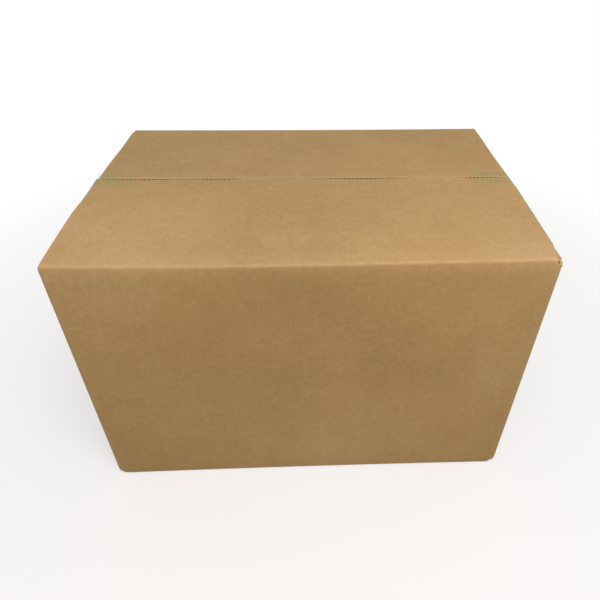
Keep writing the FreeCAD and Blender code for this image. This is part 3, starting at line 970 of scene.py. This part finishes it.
# %% Node group: handling
def make_handling():
    """Blotch and hue from -0.5 to 0.5, and a rub mask from 0 to 1 from the wear and fine noise."""
    tree, given, out = new_group("handling", [("Where", VECTOR, None), ("Wear", FLOAT, 0.0)],
                                 ["Blotch", "Hue", "Rub"])
    where = given.outputs["Where"]
    broad = noise(tree, where, 7.0, 3.0, 0.55)
    fine = noise(tree, where, 38.0, 3.0, 0.6)
    blotch = maths(tree, "SUBTRACT", maths(tree, "MULTIPLY_ADD", fine, 0.45,
                                           maths(tree, "MULTIPLY", broad, 0.75)), 0.6)
    hue = maths(tree, "SUBTRACT", noise(tree, scaled(tree, where, 1, 1, 1.4), 4.3, 2.0), 0.5)
    broken = ramp(tree, noise(tree, where, 260.0, 3.0, 0.7), 0.3, 0.7)
    rub = maths(tree, "MULTIPLY", given.outputs["Wear"], maths(tree, "MULTIPLY_ADD", broken, 0.7, 0.3))
    for label, value in (("Blotch", blotch), ("Hue", hue), ("Rub", rub)):
        tree.links.new(value, out.inputs[label])
    return tree


handling = make_handling()
print("group:", handling.name)

# %% [markdown]
# ## The two board finishes
# The liner's face is brown paper: matt, a little cloudy, ribbed by the flutes and rubbed at the folds,
# with faint painted light and shade on the ribs. The cut edges, the hollow flutes and the wavy layer are
# the same paper seen raw: rougher, more uneven and paler where the knife has torn the fibres, with
# painted shade deep in the hollows. Both use the same three groups with other values, and both carry
# the broad patches of painted light and shadow.

# %% Finish: board
# The colour of the painted shade deep inside the open flutes
HOLLOW_PAINTED_SHADE = (0.02, 0.012, 0.006)
KRAFT = (0.479, 0.309, 0.131)


def make_board(material, dark, mid, pale, contrast, ribs, rough, rub_share):
    """Matt paper: tone plus painted light and shade, pale where rubbed, painted shade in hollows, fine
    relief.
    """
    material.use_nodes = True
    tree = material.node_tree
    shader = tree.nodes["Principled BSDF"]
    place = add(tree, "ShaderNodeUVMap", {"uv_map": "sheet"}).outputs["UV"]
    where = tree.nodes.new("ShaderNodeTexCoord").outputs["Object"]
    wear, deep, painted_light_and_shadow = (point_value(tree, name) for name in ("wear", "deep", "painted_light_and_shadow"))
    fibre = use(tree, paper_fibre, Place=place)
    board = use(tree, washboard, Place=place)
    marks = use(tree, handling, Where=where, Wear=wear)
    tone = maths(tree, "ADD", maths(tree, "MULTIPLY", fibre["Tone"], contrast),
                 maths(tree, "MULTIPLY", marks["Blotch"], contrast * 0.9))
    # The washboard ribs are painted into the tone as faint light and shade, round the middle tone of 0.5
    painted_rib_shade = maths(tree, "MULTIPLY_ADD", board["Height"], 0.05 * ribs, 0.5 - 0.025 * ribs)
    # The painted light and shadow of the broad patches is added to the tone
    tone = maths(tree, "ADD", maths(tree, "ADD", tone, painted_rib_shade), painted_light_and_shadow)
    colour = blend(tree, ramp(tree, tone, 0.0, 0.5), dark, mid)
    colour = blend(tree, ramp(tree, tone, 0.5, 1.0), colour, pale)
    red = tuple(v * f for v, f in zip(mid, (1.10, 0.95, 0.90)))
    colour = blend(tree, ramp(tree, marks["Hue"], -0.2, 0.4, 0.0, 0.35), colour, red)
    colour = blend(tree, maths(tree, "MULTIPLY", marks["Rub"], rub_share), colour, pale)
    # Painted shade in the hollows: darker the deeper a point lies inside a hollow edge
    colour = blend(tree, ramp(tree, deep, 0.04, 0.16, 0.0, 0.97), colour, HOLLOW_PAINTED_SHADE)
    tree.links.new(colour, shader.inputs["Base Color"])
    shader.inputs["Specular IOR Level"].default_value = 0.28
    roughness = ramp(tree, fibre["Tone"], -0.5, 0.5, rough + 0.08, rough - 0.08)
    tree.links.new(roughness, shader.inputs["Roughness"])
    relief = maths(tree, "ADD", maths(tree, "MULTIPLY", fibre["Height"], 0.05),
                   maths(tree, "MULTIPLY", board["Height"], 0.07 * ribs))
    raised = add(tree, "ShaderNodeBump", Height=relief, Strength=1.0, Distance=0.001)
    tree.links.new(raised.outputs["Normal"], shader.inputs["Normal"])


make_board(kraft_face, dark=tuple(v * 0.62 for v in KRAFT), mid=KRAFT, pale=(0.62, 0.43, 0.23),
           contrast=0.66, ribs=1.0, rough=0.78, rub_share=0.40)
make_board(kraft_edge, dark=(0.26, 0.155, 0.065), mid=(0.47, 0.31, 0.15), pale=(0.70, 0.52, 0.30),
           contrast=0.9, ribs=0.0, rough=0.9, rub_share=0.75)
print("board finishes:", kraft_face.name, kraft_edge.name)

# %% [markdown]
# ## Clear tape
# Packing tape is a thin clear film. Where it has wetted the board it all but vanishes, and where air is
# trapped under it, as over the ends of the seam, it turns a cloudy green brown. Drawing it out leaves
# fine streaks along its length. It is a mostly transparent gloss finish whose share of cover comes from
# how loose it lies, from the streaks and from a painted highlight along its front edge.

# %% Finish: tape
def make_clear_tape(material):
    """A glossy film: cover and tint grow where it is loose, with streaks along its length."""
    material.use_nodes = True
    tree = material.node_tree
    shader = tree.nodes["Principled BSDF"]
    place = add(tree, "ShaderNodeUVMap", {"uv_map": "sheet"}).outputs["UV"]
    loose, painted_edge_highlight = (point_value(tree, name) for name in ("loose", "painted_edge_highlight"))
    streak = ramp(tree, noise(tree, scaled(tree, place, 9, 420), 1.0, 3.0, 0.6), 0.4, 0.7)
    patch = ramp(tree, noise(tree, scaled(tree, place, 45, 120), 1.0, 3.0, 0.55), 0.3, 0.7)
    cloudy = maths(tree, "MULTIPLY", loose, maths(tree, "MULTIPLY_ADD", patch, 0.5, 0.5))
    colour = blend(tree, cloudy, (0.80, 0.62, 0.36), (0.25, 0.64, 0.18))
    # The painted highlight along the front edge, in a pale colour
    colour = blend(tree, painted_edge_highlight, colour, (0.90, 0.76, 0.55))
    tree.links.new(colour, shader.inputs["Base Color"])
    cover = maths(tree, "MULTIPLY_ADD", streak, 0.025, 0.01)
    cover = maths(tree, "ADD", cover, maths(tree, "MULTIPLY", cloudy, 0.12))
    # The painted highlight along the front edge also gives the film some cover
    cover = maths(tree, "MAXIMUM", cover, maths(tree, "MULTIPLY", painted_edge_highlight, 0.06))
    tree.links.new(cover, shader.inputs["Alpha"])
    tree.links.new(ramp(tree, streak, 0.0, 1.0, 0.16, 0.3), shader.inputs["Roughness"])
    raised = add(tree, "ShaderNodeBump", Height=streak, Strength=0.6, Distance=0.00006)
    tree.links.new(raised.outputs["Normal"], shader.inputs["Normal"])


make_clear_tape(clear_tape)
print("tape finish:", clear_tape.name)

# %% [markdown]
# ## The floor
# The floor is a pale sheet that turns to plain white away from the box, so that the box seems to stand
# in white space and still throws its shadow. To rays that only carry light it looks darker and a little
# green, which keeps the lower front as dull as it is in the photograph.

# %% Floor
FLOOR_HALF = 14.0
FLOOR_GAP = 0.0003
# The distances between which the floor turns from pale to plain white, and how white it is at the first
FLOOR_FADE = (0.3, 1.1)
FLOOR_NEAR = 0.5


def make_floor():
    """A large flat floor just under the box: pale at the box and plain white far off."""
    mesh = bpy.data.meshes.new("floor")
    corners = [(x * FLOOR_HALF, y * FLOOR_HALF, -FLOOR_GAP) for x, y in ((-1, -1), (1, -1), (1, 1), (-1, 1))]
    mesh.from_pydata(corners, [], [(0, 1, 2, 3)])
    made = bpy.data.objects.new("floor", mesh)
    bpy.context.scene.collection.objects.link(made)
    material = bpy.data.materials.new("pale_floor")
    material.use_nodes = True
    tree = material.node_tree
    tree.nodes.clear()
    where = add(tree, "ShaderNodeTexCoord").outputs["Object"]
    distance = add(tree, "ShaderNodeVectorMath", {"operation": "LENGTH"}, i0=where).outputs["Value"]
    pale = add(tree, "ShaderNodeBsdfDiffuse", Color=(0.97, 0.97, 0.97, 1)).outputs["BSDF"]
    white = add(tree, "ShaderNodeEmission", Strength=1.0).outputs["Emission"]
    whiteness = ramp(tree, distance, *FLOOR_FADE, FLOOR_NEAR)
    shown = add(tree, "ShaderNodeMixShader", i0=whiteness, i1=pale, i2=white)
    dim = add(tree, "ShaderNodeBsdfDiffuse", Color=(0.27, 0.37, 0.34, 1)).outputs["BSDF"]
    # The pale floor is what the camera, a mirroring surface and a ray through the tape see
    path = add(tree, "ShaderNodeLightPath").outputs
    seen = maths(tree, "MAXIMUM", path["Is Camera Ray"], path["Is Glossy Ray"])
    seen = maths(tree, "MAXIMUM", seen, path["Is Transmission Ray"])
    surface = add(tree, "ShaderNodeMixShader", i0=seen, i1=dim, i2=shown.outputs["Shader"])
    add(tree, "ShaderNodeOutputMaterial", Surface=surface.outputs["Shader"])
    mesh.materials.append(material)
    return made


floor = make_floor()
print("floor at z in mm:", round(floor.data.vertices[0].co.z * 1000, 2))

# %% [markdown]
# ## Light
# The photograph has soft light from above and a warmer, weaker light from the front. A large lamp above
# and in front lights the top, an orange one low in front lights the front panel, and one behind keeps
# the back from going black. An even sky fills in the rest, and the camera sees plain white behind it all.

# %% Light
def make_lamp(name, place, aim, size, power, colour):
    """A soft oblong lamp at a place, facing a point, with its size in metres and its power in watts."""
    data = bpy.data.lights.new(name, "AREA")
    data.shape = "RECTANGLE"
    data.size, data.size_y = size
    data.energy = power
    data.color = colour
    lamp = bpy.data.objects.new(name, data)
    lamp.location = place
    lamp.rotation_euler = (Vector(aim) - Vector(place)).to_track_quat("-Z", "Y").to_euler()
    bpy.context.scene.collection.objects.link(lamp)


make_lamp("key_lamp", place=(0.25, -0.85, 1.75), aim=(0.05, -0.1, 0.3),
          size=(0.9, 0.9), power=20.2, colour=(1.0, 0.985, 0.97))
make_lamp("back_lamp", place=(-0.5, 2.3, 0.3), aim=(0.0, 0.0, 0.2),
          size=(1.8, 0.5), power=12.0, colour=(1.0, 0.97, 0.94))
make_lamp("front_lamp", place=(0.4, -2.4, 0.9), aim=(0.0, 0.0, 0.25),
          size=(1.2, 1.0), power=8.7, colour=(1.0, 0.50, 0.25))


def make_sky(strength):
    """An even white sky that lights with the given strength and looks plain white to the camera."""
    world = bpy.data.worlds.new("studio")
    world.use_nodes = True
    tree = world.node_tree
    tree.nodes.clear()
    dim, white = (add(tree, "ShaderNodeBackground", Color=(1, 1, 1, 1), Strength=level).outputs["Background"]
                  for level in (strength, 1.0))
    seen = add(tree, "ShaderNodeLightPath").outputs["Is Camera Ray"]
    pick = add(tree, "ShaderNodeMixShader", i0=seen, i1=dim, i2=white)
    add(tree, "ShaderNodeOutputWorld", Surface=pick.outputs["Shader"])
    return world


bpy.context.scene.world = make_sky(strength=0.32)

# %% [markdown]
# ## Camera
# The camera stands where the photographer stood: in front, a little to the right and above, looking down
# at 37 degrees. Its place, direction, roll and lens were worked out from the box's visible corners, and
# the lens is shifted, because the photograph is a crop whose middle is not the lens's own.

# %% Camera
PHOTO_SIDE = 600
FOCAL_PIXELS = 512.35
LENS_MIDDLE = (334.49, 270.05)
SENSOR = 36.0
CAMERA_PLACE = (0.0069, -0.6711, 0.7571)
CAMERA_TURN = (-3.1848, 37.0392, 1.2021)


def make_camera():
    """The photographer's camera. Azimuth turns it about z, pitch tips it down, and roll tilts the frame."""
    azimuth, pitch, roll = (math.radians(v) for v in CAMERA_TURN)
    forward = np.array([-math.sin(azimuth) * math.cos(pitch), math.cos(azimuth) * math.cos(pitch),
                        -math.sin(pitch)])
    right = np.array([math.cos(azimuth), math.sin(azimuth), 0.0])
    up = np.cross(right, forward)
    tilted_right = math.cos(roll) * right + math.sin(roll) * up
    tilted_up = -math.sin(roll) * right + math.cos(roll) * up
    data = bpy.data.cameras.new("camera")
    data.sensor_width = SENSOR
    data.lens = FOCAL_PIXELS / PHOTO_SIDE * SENSOR
    data.shift_x = 0.5 - LENS_MIDDLE[0] / PHOTO_SIDE
    data.shift_y = LENS_MIDDLE[1] / PHOTO_SIDE - 0.5
    data.clip_start, data.clip_end = 0.01, 60.0
    camera = bpy.data.objects.new("camera", data)
    turn = np.eye(4)
    turn[:3, 0], turn[:3, 1], turn[:3, 2] = tilted_right, tilted_up, -forward
    turn[:3, 3] = CAMERA_PLACE
    camera.matrix_world = Matrix(turn.tolist())
    bpy.context.scene.collection.objects.link(camera)
    bpy.context.scene.camera = camera
    return camera


camera = make_camera()
bpy.context.scene.view_settings.view_transform = "Standard"
print("lens in mm:", round(camera.data.lens, 2))
